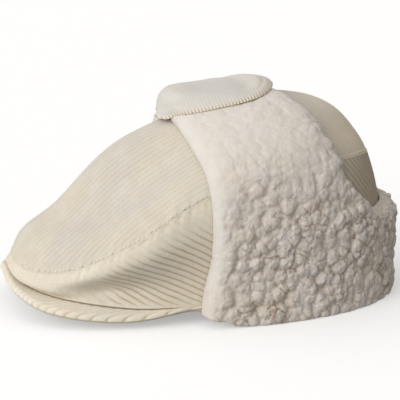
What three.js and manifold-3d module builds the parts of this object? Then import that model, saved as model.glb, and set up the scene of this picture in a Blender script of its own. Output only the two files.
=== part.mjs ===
// A winter duckbill cap in wide-wale corduroy, with fleece ear flaps folded up and joined over the crown.
// Millimetres, +Z up, bill towards -Y, the wearer's left towards +X. It lies on z = 0.
import * as THREE from "three";
import { mergeVertices } from "three/addons/utils/BufferGeometryUtils.js";
import Module from "manifold-3d";

const wasm = await Module();
wasm.setup();

// Driving dimensions.
const headCentreY = 19.55; // puts the middle of the cap's length at y = 0
const axisY = headCentreY - 20; // the upright axis that every ring is drawn round
const clothThickness = 2.4; // corduroy with its backing
const seamGap = 0.3; // between two panels that are sewn edge to edge
const apexHeight = 128; // top of the crown over the axis
const billThickness = 4.6; // board and two layers of corduroy
const billEndThickness = 2.8; // where the board has run out
const billEndAngle = 72.8; // where the bill meets the ear flap
const pivotHeight = 30; // rises on the flaps are angles seen from the axis at this height
const flapClearance = 1.0; // between crown and folded flap
const flapEdgeThickness = 4.2; // fleece and backing at a trimmed edge
const flapEdgeRound = 11; // how far in from the edge the fleece reaches its full depth
const flapDrop = 2.5; // the fold hangs this far below the crown's rim
const tabThickness = 3.2;
const tabLift = 10.2; // underside of the tab over the crown, where it lies on the flaps

// Directions from the front, in degrees, at which each ring's heights are given.
const stations = [0, 15, 30, 50, 70, 90, 120, 150, 180];

// The crown's level rings, from where it is sewn to the bill and rim up to the crest.
// front and back are reaches from the axis; a higher power squares the outline off.
const rings = [
  {
    name: "foot", halfWidth: 83, front: 132, back: 118, frontPower: 2.4, backPower: 2.3,
    heights: [24, 19.5, 15.5, 11.5, 10.5, 2.9, 2.5, 2.5, 2.5],
  },
  {
    name: "waist", halfWidth: 84, front: 132.2, back: 121, frontPower: 1.95, backPower: 2.25,
    heights: [25.8, 22.2, 20.5, 22, 27, 28, 28, 28, 28],
  },
  {
    name: "lip", halfWidth: 88, front: 132.8, back: 124, frontPower: 2.5, backPower: 2.15,
    heights: [28, 26, 27, 40, 56, 62, 61, 58, 55],
  },
  {
    name: "seam", halfWidth: 86, front: 131.6, back: 114, frontPower: 2.4, backPower: 2.15,
    heights: [31.5, 29.5, 33, 52, 75, 88, 95, 97, 93],
  },
  {
    name: "brow", halfWidth: 78, front: 124.5, back: 104.5, frontPower: 2.3, backPower: 2.1,
    heights: [47, 44, 47, 65, 86, 98, 107, 111, 111],
  },
  {
    name: "shoulder", halfWidth: 60, front: 104, back: 88.5, frontPower: 2.15, backPower: 2.1,
    heights: [62.5, 62, 66, 83, 99, 110, 120, 125.5, 127],
  },
  {
    name: "crest", halfWidth: 33, front: 62, back: 58, frontPower: 2, backPower: 2,
    heights: [102.5, 103, 106, 112.5, 118.5, 122.5, 128.5, 133.5, 135],
  },
];
const seamLevel = rings.findIndex((ring) => ring.name === "seam");
const crest = rings[rings.length - 1];
const topLevel = rings.length;

// The bill's edge and the front of the head opening, drawn like the rings above.
const billEdge = {
  halfWidth: 85.5, front: 137.7, back: 118, frontPower: 3.1, backPower: 2,
  heights: [18.5, 15, 7, 3.2, 9.5, 11, 11, 11, 11],
};
const browBand = {
  halfWidth: 78, front: 80, back: 110, frontPower: 2.1, backPower: 2,
  heights: [29, 27.5, 22.5, 15.5, 13.5, 13, 13, 13, 13],
};

// The ear lobe's free edges as directions from the pivot: angle from the front, and rise.
const lobeEdges = [
  { frontAngle: 73.4, frontRise: -13, rearAngle: 149, rearRise: -13 },
  { frontAngle: 75, frontRise: -4, rearAngle: 149, rearRise: -4 },
  { frontAngle: 77.5, frontRise: 7, rearAngle: 149, rearRise: 6 },
  { frontAngle: 78.3, frontRise: 18, rearAngle: 147, rearRise: 17 },
  { frontAngle: 78, frontRise: 30, rearAngle: 136.5, rearRise: 25.5 },
  { frontAngle: 75.5, frontRise: 41, rearAngle: 133, rearRise: 34 },
  { frontAngle: 67, frontRise: 55, rearAngle: 136.5, rearRise: 49 },
  { frontAngle: 17, frontRise: 73.5, rearAngle: 166, rearRise: 69.5 },
];
const notchRow = 3; // the row of lobeEdges where the lobe leaves the neck band
const neckBand = { startAngle: 143, endAngle: 179.8, topRise: 15.5 };

// Fleece depth against rise.
const fleece = [
  { rise: -14, depth: 15.5 },
  { rise: 5, depth: 14 },
  { rise: 30, depth: 11.5 },
  { rise: 60, depth: 9.4 },
  { rise: 90, depth: 8.2 },
];

// The tab over the crown: narrower where it is sewn on, round at the free end.
const tab = {
  sewnX: -40, freeX: 38, frontY: headCentreY - 54.5, backY: headCentreY + 23,
  widestX: 4, // where the round end begins
  sewnShare: 0.6, // width at the sewn end against the widest
  hookY: headCentreY - 52, // ahead of this the tab has slid off the fleece onto the crown
  restY: headCentreY - 41, // behind this it lies fully on the fleece
  frontLift: 3.2,
  skew: 0.3, // the free end reaches further at the back than at the front
};

// Small mathematics.
const wrap = (angle) => {
  const turned = ((angle % 360) + 360) % 360;
  return turned > 180 ? 360 - turned : turned;
};

const smooth = (value) => {
  const share = THREE.MathUtils.clamp(value, 0, 1);
  return share * share * (3 - 2 * share);
};

function heightAt(ring, angle) {
  const folded = wrap(angle);
  const last = stations.length - 1;
  const slope = (i) =>
    i === 0 || i === last
      ? 0
      : (ring.heights[i + 1] - ring.heights[i - 1]) / (stations[i + 1] - stations[i - 1]);
  let i = 0;
  while (i < last - 1 && folded > stations[i + 1]) i += 1;
  const width = stations[i + 1] - stations[i];
  const t = (folded - stations[i]) / width;
  return (
    ring.heights[i] * (1 + 2 * t) * (1 - t) ** 2 +
    slope(i) * width * t * (1 - t) ** 2 +
    ring.heights[i + 1] * t * t * (3 - 2 * t) +
    slope(i + 1) * width * t * t * (t - 1)
  );
}

function reachAt(ring, angle) {
  const turn = THREE.MathUtils.degToRad(angle);
  const towardsFront = Math.cos(turn) > 0;
  const reach = towardsFront ? ring.front : ring.back;
  const power = towardsFront ? ring.frontPower : ring.backPower;
  const across = Math.abs(Math.sin(turn) / ring.halfWidth) ** power;
  const along = Math.abs(Math.cos(turn) / reach) ** power;
  return (across + along) ** (-1 / power);
}

// A point at a distance from the axis and a height, in the upright plane at an angle.
function place(angle, reach, height) {
  const turn = THREE.MathUtils.degToRad(angle);
  return new THREE.Vector3(reach * Math.sin(turn), axisY - reach * Math.cos(turn), height);
}

// The crown's outer surface: one smooth curve from foot to apex in each upright plane.
const meridians = new Map();
function meridian(angle) {
  const key = angle.toFixed(5);
  if (!meridians.has(key)) {
    const points = rings.map(
      (ring) => new THREE.Vector3(reachAt(ring, angle), 0, heightAt(ring, angle)),
    );
    points.push(new THREE.Vector3(0, 0, apexHeight));
    points.push(new THREE.Vector3(-reachAt(crest, angle + 180), 0, heightAt(crest, angle + 180)));
    meridians.set(key, new THREE.CatmullRomCurve3(points, false, "centripetal"));
  }
  return meridians.get(key);
}

const profileAt = (angle, level) => meridian(angle).getPoint(level / (topLevel + 1));

function crownPoint(angle, level) {
  const profile = profileAt(angle, level);
  return place(angle, profile.x, profile.z);
}

function crownNormal(angle, level) {
  const step = 0.02;
  if (level > topLevel - step) return new THREE.Vector3(0, -0.12, 1).normalize();
  const low = Math.max(level - step, 0);
  const up = crownPoint(angle, level + step).sub(crownPoint(angle, low));
  const round = crownPoint(angle + 0.5, level).sub(crownPoint(angle - 0.5, level));
  return round.cross(up).normalize();
}

// A point off the crown's outer surface. At the foot the offset is level, so the edge stays put.
function offCrown(angle, level, distance) {
  const normal = crownNormal(angle, level);
  normal.z *= smooth(level / 0.8);
  return crownPoint(angle, level).addScaledVector(normal.normalize(), distance);
}

// The level at which a measure that rises steadily with level reaches a value.
function levelWhere(measure, value, lowest) {
  let low = lowest;
  let high = topLevel - 0.002;
  for (let i = 0; i < 30; i += 1) {
    const middle = (low + high) / 2;
    if (measure(middle) < value) low = middle;
    else high = middle;
  }
  return (low + high) / 2;
}

function levelOfRise(angle, rise) {
  const riseOf = (level) => {
    const profile = profileAt(angle, level);
    return THREE.MathUtils.radToDeg(Math.atan2(profile.z - pivotHeight, profile.x));
  };
  return levelWhere(riseOf, rise, 0);
}

function overCrown(x, y, distance) {
  const angle = THREE.MathUtils.radToDeg(Math.atan2(x, axisY - y));
  const inwards = (level) => -profileAt(angle, level).x;
  const level = levelWhere(inwards, -Math.hypot(x, axisY - y), seamLevel);
  return offCrown(angle, level, distance);
}

// A closed solid between two skins, each a grid of points over u and v from 0 to 1.
function sheetSolid(us, vs, outer, inner, closed = false) {
  const positions = [];
  const corner = (skin, i, j) => skin[i % skin.length][j];
  const outside = us.map((u) => vs.map((v) => outer(u, v)));
  const inside = us.map((u) => vs.map((v) => inner(u, v)));
  const triangle = (a, b, c) => {
    const near = 1e-4;
    if (a.distanceTo(b) < near || b.distanceTo(c) < near || c.distanceTo(a) < near) return;
    positions.push(...a.toArray(), ...b.toArray(), ...c.toArray());
  };
  const quad = (a, b, c, d) => {
    triangle(a, b, c);
    triangle(a, c, d);
  };
  const strips = closed ? us.length : us.length - 1;
  const rows = vs.length - 1;
  for (let i = 0; i < strips; i += 1) {
    for (let j = 0; j < rows; j += 1) {
      const [a, b] = [corner(outside, i, j), corner(outside, i + 1, j)];
      const [c, d] = [corner(outside, i + 1, j + 1), corner(outside, i, j + 1)];
      quad(a, b, c, d);
      const [e, f] = [corner(inside, i, j), corner(inside, i + 1, j)];
      const [g, h] = [corner(inside, i + 1, j + 1), corner(inside, i, j + 1)];
      quad(f, e, h, g);
    }
    quad(corner(inside, i, 0), corner(inside, i + 1, 0), corner(outside, i + 1, 0), corner(outside, i, 0));
    quad(
      corner(outside, i, rows), corner(outside, i + 1, rows),
      corner(inside, i + 1, rows), corner(inside, i, rows),
    );
  }
  if (!closed) {
    const last = us.length - 1;
    for (let j = 0; j < rows; j += 1) {
      quad(inside[0][j], outside[0][j], outside[0][j + 1], inside[0][j + 1]);
      quad(outside[last][j], inside[last][j], inside[last][j + 1], outside[last][j + 1]);
    }
  }
  const geometry = new THREE.BufferGeometry();
  geometry.setAttribute("position", new THREE.Float32BufferAttribute(positions, 3));
  return mergeVertices(geometry, 1e-4);
}

function manifoldOf(geometry) {
  return new wasm.Manifold(
    new wasm.Mesh({
      numProp: 3,
      vertProperties: geometry.attributes.position.array,
      triVerts: new Uint32Array(geometry.index.array),
    }),
  );
}

function geometryOf(solid) {
  const mesh = solid.getMesh();
  const geometry = new THREE.BufferGeometry();
  geometry.setAttribute("position", new THREE.Float32BufferAttribute(mesh.vertProperties, 3));
  geometry.setIndex([...mesh.triVerts]);
  return geometry;
}

const even = (count) => Array.from({ length: count + 1 }, (_, i) => i / count);
const endsClose = (count) => even(count).map((t) => (1 - Math.cos(Math.PI * t)) / 2);
const between = (low, high, share) => low + (high - low) * share;

// The oval top panel, from its seam to the apex.
function topPanel() {
  const panels = 48;
  const turns = Array.from({ length: panels }, (_, i) => i / panels);
  const level = (v) => between(seamLevel + 0.012, topLevel, v);
  const skin = (distance) => (u, v) => {
    if (v > 0.999) return new THREE.Vector3(0, axisY, apexHeight + distance);
    return offCrown(u * 360, level(v), distance);
  };
  return sheetSolid(turns, even(10), skin(0), skin(-clothThickness), true);
}

// One side panel, from the front seam round to the back seam; side is 1 on the wearer's left.
function sidePanel(side) {
  const gapAngle = 0.09;
  const level = (v) => between(0, seamLevel - 0.012, v);
  const us = even(30).map((t) => t - 0.12 * Math.sin(Math.PI * t) * (1 - t));
  const skin = (distance) => (u, v) =>
    offCrown(side * between(gapAngle, 180 - gapAngle, u), level(v), distance);
  return side > 0
    ? sheetSolid(us, even(9), skin(0), skin(-clothThickness))
    : sheetSolid(us, even(9), skin(-clothThickness), skin(0));
}

// The stiff bill: a closed section carried round from one temple to the other.
function bill() {
  const seatDrop = 0.8;
  const nose = 1.6;
  const section = (angle) => {
    const foot = { reach: reachAt(rings[0], angle), height: heightAt(rings[0], angle) - seatDrop };
    const edge = { reach: reachAt(billEdge, angle), height: heightAt(billEdge, angle) };
    const inner = { reach: reachAt(browBand, angle), height: heightAt(browBand, angle) };
    const seat = foot.reach - 2 * clothThickness;
    const thickness = between(billThickness, billEndThickness, smooth((Math.abs(angle) - 50) / 22));
    const top = [
      [inner.reach, inner.height],
      [between(inner.reach, seat, 0.5), between(inner.height, foot.height, 0.5)],
      [seat, foot.height],
      [foot.reach, foot.height - 0.2],
      [between(foot.reach, edge.reach, 0.5), between(foot.height, edge.height + thickness, 0.42)],
      [edge.reach - nose, edge.height + thickness],
      [edge.reach, edge.height + thickness * 0.55],
    ];
    const under = [
      [inner.reach, inner.height - thickness],
      [between(inner.reach, seat, 0.5), between(inner.height, foot.height, 0.5) - thickness],
      [seat, foot.height - thickness],
      [foot.reach, foot.height - 0.2 - thickness],
      [between(foot.reach, edge.reach, 0.5), between(foot.height - thickness, edge.height, 0.42)],
      [edge.reach - nose, edge.height],
      [edge.reach, edge.height + thickness * 0.45],
    ];
    return { top, under };
  };
  const places = section(0).top.length;
  const point = (list) => (u, v) => {
    const angle = between(-billEndAngle, billEndAngle, u);
    const index = Math.round(v * (places - 1));
    const [reach, height] = section(angle)[list][index];
    return place(angle, reach, height);
  };
  return sheetSolid(even(40), even(places - 1), point("under"), point("top"));
}

// Fleece depth at a rise, cut down near a trimmed edge as the pile rounds over.
function fleeceDepth(rise, edgeDistance) {
  const after = Math.max(1, fleece.findIndex((row) => row.rise > rise));
  const [low, high] = [fleece[after - 1], fleece[after]];
  const full = between(low.depth, high.depth, (rise - low.rise) / (high.rise - low.rise));
  const inwards = THREE.MathUtils.clamp(edgeDistance / flapEdgeRound, 0, 1);
  return between(flapEdgeThickness, full, Math.sqrt(1 - (1 - inwards) ** 2));
}

const direction = (angle, rise) => {
  const [turn, up] = [THREE.MathUtils.degToRad(angle), THREE.MathUtils.degToRad(rise)];
  return new THREE.Vector3(Math.cos(up) * Math.sin(turn), -Math.cos(up) * Math.cos(turn), Math.sin(up));
};
const angleOf = (aim) => THREE.MathUtils.radToDeg(Math.atan2(aim.x, -aim.y));
const riseOf = (aim) => THREE.MathUtils.radToDeg(Math.asin(aim.z / aim.length()));

// A point of a flap: an aim from the pivot, a distance in from the trimmed edge, and a skin.
function flapPoint(aim, edgeDistance, outerSkin, atFold) {
  const angle = angleOf(aim);
  const level = atFold ? 0 : levelOfRise(angle, riseOf(aim));
  const depth = outerSkin ? fleeceDepth(riseOf(aim), edgeDistance) : 0;
  const point = offCrown(angle, level, flapClearance + depth);
  if (atFold) point.z = Math.max(0, heightAt(rings[0], angle) - flapDrop);
  return point;
}

// The ear lobe: it rises from the fold, narrows and ends under the tab.
function earLobe() {
  const last = lobeEdges.length - 1;
  const edge = (angleKey, riseKey) =>
    new THREE.CatmullRomCurve3(lobeEdges.map((row) => direction(row[angleKey], row[riseKey])));
  const frontEdge = edge("frontAngle", "frontRise");
  const rearEdge = edge("rearAngle", "rearRise");
  const notch = notchRow / last;
  const foldDistance = 7; // the fold is rolled, not trimmed, so it starts part way round
  const radius = 100; // mean distance of the flap from the pivot
  const skin = (outerSkin) => (u, v) => {
    const front = frontEdge.getPoint(v).normalize();
    const rear = rearEdge.getPoint(v).normalize();
    const aim = front.clone().lerp(rear, u).normalize();
    const toTop = frontEdge.getPoint(1).lerp(rearEdge.getPoint(1), u).normalize().angleTo(aim) * radius;
    const toFold = foldDistance + v * last * 18;
    const toRear = v > notch ? rear.angleTo(aim) * radius : flapEdgeRound;
    const edgeDistance = Math.min(front.angleTo(aim) * radius, toRear, toTop, toFold);
    return flapPoint(aim, edgeDistance, outerSkin, v === 0);
  };
  const vs = [...even(16).slice(0, -1), 0.965, 0.988, 1];
  return sheetSolid(endsClose(15), vs, skin(true), skin(false));
}

// The neck band: the low part of the flap that goes round to the back seam.
function neckPart() {
  const rises = [-13, -11, -4, 3, 8, 11.5, 14.2, neckBand.topRise];
  const radius = 118;
  const skin = (outerSkin) => (u, v) => {
    const angle = between(neckBand.startAngle, neckBand.endAngle, u);
    const rise = rises[Math.round(v * (rises.length - 1))];
    const toTop = THREE.MathUtils.degToRad(neckBand.topRise - rise) * radius;
    const toFold = 7 + (rise - rises[0]) * 2;
    return flapPoint(direction(angle, rise), Math.min(toTop, toFold), outerSkin, v === 0);
  };
  return sheetSolid(even(8), even(rises.length - 1), skin(true), skin(false));
}

// One half of the flaps, a lobe and its share of the neck band, sewn to the other at the back.
function earFlap(side) {
  const half = manifoldOf(earLobe()).add(manifoldOf(neckPart()));
  return geometryOf(side > 0 ? half : half.mirror([1, 0, 0]));
}

// The tab that closes the flaps over the crown.
function closingTab() {
  const middleY = (tab.frontY + tab.backY) / 2;
  const halfY = (tab.backY - tab.frontY) / 2;
  const outline = (x) => {
    if (x < tab.widestX) {
      const towardsSewn = (tab.widestX - x) / (tab.widestX - tab.sewnX);
      return halfY * between(1, tab.sewnShare, towardsSewn);
    }
    const towardsFree = (x - tab.widestX) / (tab.freeX - tab.widestX);
    return halfY * (1 - towardsFree ** 2.2) ** (1 / 2.2);
  };
  const skin = (thickness) => (u, v) => {
    const straight = between(tab.sewnX, tab.freeX - 0.05, u);
    const offMiddle = outline(straight) * (2 * v - 1);
    const x = straight + tab.skew * offMiddle * u;
    const y = middleY + offMiddle;
    const seated = smooth((y - tab.hookY) / (tab.restY - tab.hookY));
    return overCrown(x, y, between(tab.frontLift, tabLift, seated) + thickness);
  };
  const us = even(16).map((t) => Math.sin((t * Math.PI) / 2) ** 0.9);
  return sheetSolid(us, even(14), skin(tabThickness), skin(0));
}

const corduroy = new THREE.MeshStandardMaterial({ color: "#ded6c6", roughness: 0.9, metalness: 0 });
const shadedCorduroy = new THREE.MeshStandardMaterial({ color: "#d6c9ac", roughness: 0.9, metalness: 0 });
const fleeceCloth = new THREE.MeshStandardMaterial({ color: "#ddd6cf", roughness: 1, metalness: 0 });

const cap = new THREE.Group();
function add(name, geometry, material) {
  geometry.computeVertexNormals();
  const mesh = new THREE.Mesh(geometry, material);
  mesh.name = name;
  cap.add(mesh);
}
add("top_panel", topPanel(), corduroy);
add("side_panel_left", sidePanel(1), shadedCorduroy);
add("side_panel_right", sidePanel(-1), shadedCorduroy);
add("bill", bill(), corduroy);
add("ear_flap_left", earFlap(1), fleeceCloth);
add("ear_flap_right", earFlap(-1), fleeceCloth);
add("closing_tab", closingTab(), corduroy);

export default cap;
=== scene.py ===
import math
import random

import bmesh
import bpy
import numpy as np
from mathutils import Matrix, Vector, kdtree, noise


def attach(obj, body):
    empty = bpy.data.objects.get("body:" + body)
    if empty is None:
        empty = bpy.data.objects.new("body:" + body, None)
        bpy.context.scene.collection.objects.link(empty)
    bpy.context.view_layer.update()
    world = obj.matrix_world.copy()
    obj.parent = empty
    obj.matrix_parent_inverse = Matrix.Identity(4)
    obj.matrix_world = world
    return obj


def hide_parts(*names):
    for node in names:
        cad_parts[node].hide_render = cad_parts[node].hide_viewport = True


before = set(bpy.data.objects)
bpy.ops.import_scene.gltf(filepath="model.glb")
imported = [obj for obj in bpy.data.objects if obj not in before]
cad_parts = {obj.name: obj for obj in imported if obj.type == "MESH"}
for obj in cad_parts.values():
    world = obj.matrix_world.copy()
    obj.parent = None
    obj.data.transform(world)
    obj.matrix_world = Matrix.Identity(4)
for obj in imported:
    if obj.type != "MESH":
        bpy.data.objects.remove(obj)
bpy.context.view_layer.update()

# The crown's level rings, as in the part: reaches in mm from the upright axis, heights at each direction.
crown = {
    "axisY": -0.45,
    "apex": 128.0,
    "thickness": 2.4,
    "apexNormal": (0, -0.12, 1),
    "directions": [0, 15, 30, 50, 70, 90, 120, 150, 180],
    "seamLevel": 3,
    "rings": [
        # half width, front, back, front power, back power, heights
        (83, 132, 118, 2.4, 2.3, [24, 19.5, 15.5, 11.5, 10.5, 2.9, 2.5, 2.5, 2.5]),
        (84, 132.2, 121, 1.95, 2.25, [25.8, 22.2, 20.5, 22, 27, 28, 28, 28, 28]),
        (88, 132.8, 124, 2.5, 2.15, [28, 26, 27, 40, 56, 62, 61, 58, 55]),
        (86, 131.6, 114, 2.4, 2.15, [31.5, 29.5, 33, 52, 75, 88, 95, 97, 93]),
        (78, 124.5, 104.5, 2.3, 2.1, [47, 44, 47, 65, 86, 98, 107, 111, 111]),
        (60, 104, 88.5, 2.15, 2.1, [62.5, 62, 66, 83, 99, 110, 120, 125.5, 127]),
        (33, 62, 58, 2, 2, [102.5, 103, 106, 112.5, 118.5, 122.5, 128.5, 133.5, 135]),
    ],
}
billEdge = (85.5, 137.7, 118, 3.1, 2, [18.5, 15, 7, 3.2, 9.5, 11, 11, 11, 11])
browBand = (78, 80, 110, 2.1, 2, [29, 27.5, 22.5, 15.5, 13.5, 13, 13, 13, 13])
topLevel = len(crown["rings"])
seamShare = 0.0002  # levels that each panel keeps clear of the other at their seam
mm = 0.001


def smooth(t):
    t = np.clip(t, 0, 1)
    return t * t * (3 - 2 * t)


def mix(a, b, t):
    return a + (b - a) * t


def risen(value, start, full):
    # 0 at the start, 1 at the full value, smooth between; the start may be the larger of the two
    return smooth((value - start) / (full - start))


def bell(value, width):
    return np.exp(-((value / width) ** 2))


def summed(steps):
    return np.concatenate([[0], np.cumsum(steps)])


def lengthAlong(points):
    return summed(np.linalg.norm(np.diff(points, axis=0), axis=1))


def heightAt(ring, angle):
    at = np.array(crown["directions"], float)
    rise = np.array(ring[5], float)
    slope = np.zeros(len(at))
    slope[1:-1] = (rise[2:] - rise[:-2]) / (at[2:] - at[:-2])
    folded = np.abs((np.asarray(angle, float) + 180) % 360 - 180)
    i = np.clip(np.searchsorted(at, folded) - 1, 0, len(at) - 2)
    width = at[i + 1] - at[i]
    t = (folded - at[i]) / width
    return (
        rise[i] * (1 + 2 * t) * (1 - t) ** 2
        + slope[i] * width * t * (1 - t) ** 2
        + rise[i + 1] * t * t * (3 - 2 * t)
        + slope[i + 1] * width * t * t * (t - 1)
    )


def reachAt(ring, angle):
    turn = np.radians(angle)
    front = np.cos(turn) > 0
    reach, power = np.where(front, ring[1], ring[2]), np.where(front, ring[3], ring[4])
    return (np.abs(np.sin(turn) / ring[0]) ** power + np.abs(np.cos(turn) / reach) ** power) ** (-1 / power)


def place(angle, reach, height):
    turn = np.radians(angle)
    return np.stack([reach * np.sin(turn), crown["axisY"] - reach * np.cos(turn), height], -1)


def profile(angle, level):
    # one smooth centripetal curve from foot to apex, going on down the far side's crest
    angle, level = np.broadcast_arrays(np.asarray(angle, float), np.asarray(level, float))
    knots = [np.stack([reachAt(r, angle), heightAt(r, angle)], -1) for r in crown["rings"]]
    far = crown["rings"][-1]
    knots.append(np.stack([0 * angle, 0 * angle + crown["apex"]], -1))
    knots.append(np.stack([-reachAt(far, angle + 180), heightAt(far, angle + 180)], -1))
    knots.insert(0, 2 * knots[0] - knots[1])
    knots = np.stack(knots)
    i = np.clip(level.astype(int), 0, topLevel)
    last = topLevel + 2
    p = [np.take_along_axis(knots, np.minimum(i + k, last)[None, ..., None], 0)[0] for k in range(4)]
    gap = [np.maximum(np.linalg.norm(p[k + 1] - p[k], axis=-1) ** 0.5, 1e-4)[..., None] for k in range(3)]
    gap[2] = np.where((i + 3 > last)[..., None], gap[1], gap[2])
    startSlope = (p[1] - p[0]) / gap[0] - (p[2] - p[0]) / (gap[0] + gap[1]) + (p[2] - p[1]) / gap[1]
    endSlope = (p[2] - p[1]) / gap[1] - (p[3] - p[1]) / (gap[1] + gap[2]) + (p[3] - p[2]) / gap[2]
    startSlope, endSlope = startSlope * gap[1], endSlope * gap[1]
    t = (level - i)[..., None]
    return (
        p[1]
        + startSlope * t
        + (-3 * p[1] + 3 * p[2] - 2 * startSlope - endSlope) * t**2
        + (2 * p[1] - 2 * p[2] + startSlope + endSlope) * t**3
    )


def crownPoint(angle, level):
    at = profile(angle, level)
    return place(angle, at[..., 0], at[..., 1])


def crownNormal(angle, level):
    step = 0.02
    angle, level = np.broadcast_arrays(np.asarray(angle, float), np.asarray(level, float))
    low = np.clip(level - step, 0, topLevel - 2 * step)
    up = crownPoint(angle, low + 2 * step) - crownPoint(angle, low)
    around = crownPoint(angle + 0.5, level) - crownPoint(angle - 0.5, level)
    normal = np.cross(around, up)
    normal[level > topLevel - step] = crown["apexNormal"]
    return normal / np.maximum(np.linalg.norm(normal, axis=-1, keepdims=True), 1e-9)


def offCrown(angle, level, distance):
    normal = crownNormal(angle, level)
    normal[..., 2] *= smooth(level / 0.8)  # level at the foot, so that the rim stays at its height
    normal /= np.linalg.norm(normal, axis=-1, keepdims=True)
    return crownPoint(angle, level) + normal * np.asarray(distance)[..., None]


def levelAtReach(angle, reach):
    low = np.full(np.shape(reach), float(crown["seamLevel"]))
    high = np.full(np.shape(reach), topLevel - 0.002)
    for _ in range(22):
        middle = (low + high) / 2
        tooFar = profile(angle, middle)[..., 0] > reach
        low, high = np.where(tooFar, middle, low), np.where(tooFar, high, middle)
    return (low + high) / 2


def angleOf(x, y):
    return np.degrees(np.arctan2(x, crown["axisY"] - y))


# The middle of the crown as one polynomial in x and y, since its rings pinch a little at the apex.
summit = {"reach": 50.0, "degree": 6, "hole": 9.0}


def summitTerms(x, y):
    x, y, most = x / summit["reach"], y / summit["reach"], summit["degree"]
    return np.stack([x**i * y**k for i in range(0, most + 1, 2) for k in range(most + 1 - i)], -1)


def summitFactors():
    line = np.linspace(-summit["reach"], summit["reach"], 41)
    x, y = (part.ravel() for part in np.meshgrid(line, line))
    reach = np.hypot(x, y - crown["axisY"])
    kept = reach > summit["hole"]
    x, y, reach = x[kept], y[kept], reach[kept]
    angle = angleOf(x, y)
    height = profile(angle, levelAtReach(angle, reach))[..., 1]
    return np.linalg.lstsq(summitTerms(x, y), height, rcond=None)[0]


def offSummit(x, y, distance):
    factors = summitFactors()
    height = summitTerms(x, y) @ factors
    alongX = summitTerms(x + 0.5, y) @ factors - summitTerms(x - 0.5, y) @ factors
    alongY = summitTerms(x, y + 0.5) @ factors - summitTerms(x, y - 0.5) @ factors
    normal = np.stack([-alongX, -alongY, np.ones(len(x))], -1)
    normal /= np.linalg.norm(normal, axis=1, keepdims=True)
    return np.stack([x, y, height], -1) + normal * distance[:, None]


# A closed slab of cloth from a grid: it is extruded once, then both skins are sent to their places.
def makeSlab(name, columns, rows, skins, lift):
    bm = bmesh.new()
    bmesh.ops.create_grid(bm, x_segments=columns, y_segments=rows, size=0.5)
    layers = [bm.verts.layers.float.new(key) for key in ("u", "v", "inside")]
    for vert in bm.verts:
        vert[layers[0]], vert[layers[1]], vert[layers[2]] = vert.co.x + 0.5, vert.co.y + 0.5, 0.0
    for part in bmesh.ops.extrude_face_region(bm, geom=bm.faces[:], use_keep_orig=True)["geom"]:
        if isinstance(part, bmesh.types.BMVert):
            part[layers[2]] = 1.0
    mesh = bpy.data.meshes.new(name)
    bm.to_mesh(mesh)
    bm.free()
    movePoints(mesh, skins(*readGrid(mesh))["place"])
    bm = bmesh.new()
    bm.from_mesh(mesh)
    bmesh.ops.remove_doubles(bm, verts=bm.verts, dist=2e-5)
    bmesh.ops.dissolve_degenerate(bm, edges=bm.edges, dist=1e-5)
    bmesh.ops.recalc_face_normals(bm, faces=bm.faces)
    bm.to_mesh(mesh)
    bm.free()
    # the cloth is looked up again, since the weld has dropped some points, and gets its relief
    u, v, inside = readGrid(mesh)
    cloth = skins(u, v, inside)
    outer = inside < 0.5
    rise = np.where(outer, lift(cloth), 0)
    movePoints(mesh, readPoints(mesh) / mm + cloth.get("normal", readNormals(mesh)) * rise[:, None])
    for key in ("u", "v", "inside"):
        mesh.attributes.remove(mesh.attributes[key])
    writeVectors(mesh, "cloth", np.stack([cloth["across"], cloth["along"], np.where(outer, cloth["nap"], -1)], 1))
    print("  ", name, 2 * len(mesh.polygons), "triangles")
    return finishMesh(name, mesh)


def readGrid(mesh):
    values = []
    for key in ("u", "v", "inside"):
        read = np.empty(len(mesh.vertices), np.float32)
        mesh.attributes[key].data.foreach_get("value", read)
        values.append(read.astype(float))
    return values


def readPoints(mesh):
    points = np.empty(len(mesh.vertices) * 3, np.float32)
    mesh.vertices.foreach_get("co", points)
    return points.reshape(-1, 3).astype(float)


def readNormals(mesh):
    normals = np.empty(len(mesh.vertices) * 3, np.float32)
    mesh.vertex_normals.foreach_get("vector", normals)
    return normals.reshape(-1, 3).astype(float)


def movePoints(mesh, places):
    mesh.vertices.foreach_set("co", (places * mm).astype(np.float32).ravel())
    mesh.update()


def writeVectors(mesh, key, values):
    layer = mesh.attributes.new(key, "FLOAT_VECTOR", "POINT")
    layer.data.foreach_set("vector", np.asarray(values, np.float32).ravel())


def finishMesh(name, mesh):
    mesh.update()
    mesh.shade_smooth()
    mesh.set_sharp_from_angle(angle=math.radians(55))
    piece = bpy.data.objects.new(name, mesh)
    bpy.context.scene.collection.objects.link(piece)
    return piece


def unevenness(points, scale, seed=0.0):
    offset = Vector((seed, seed * 1.7, -seed))
    return np.array([noise.noise(Vector(p) * scale + offset) for p in points])


# The ribs of the corduroy: broad round tops and narrow furrows, one rib for each whole step across.
ribs = {"pitch": 4.15, "sharpness": 4.2}


def ribLift(across, height):
    return height * (0.62 - np.abs(2 * (across % 1) - 1) ** ribs["sharpness"])


# Where the seam between the top and side panels runs, as length from the centre front, and the dents along it.
seamAngles = np.linspace(-180, 180, 1441)
seamFront = len(seamAngles) // 2
seamRun = lengthAlong(crownPoint(seamAngles, np.full(len(seamAngles), float(crown["seamLevel"]))))
seamRun -= seamRun[seamFront]
random.seed(4)
dents = np.array([random.uniform(-1, 1) for _ in range(300)])
pucker = {
    "step": 2.8, "reach": 5.0, "depth": 0.8, "welt": 0.42, "weltWidth": 1.5,
    "backSpan": (85, 115), "backShare": 0.3,  # the cloth lies smoother at the back
}


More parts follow.
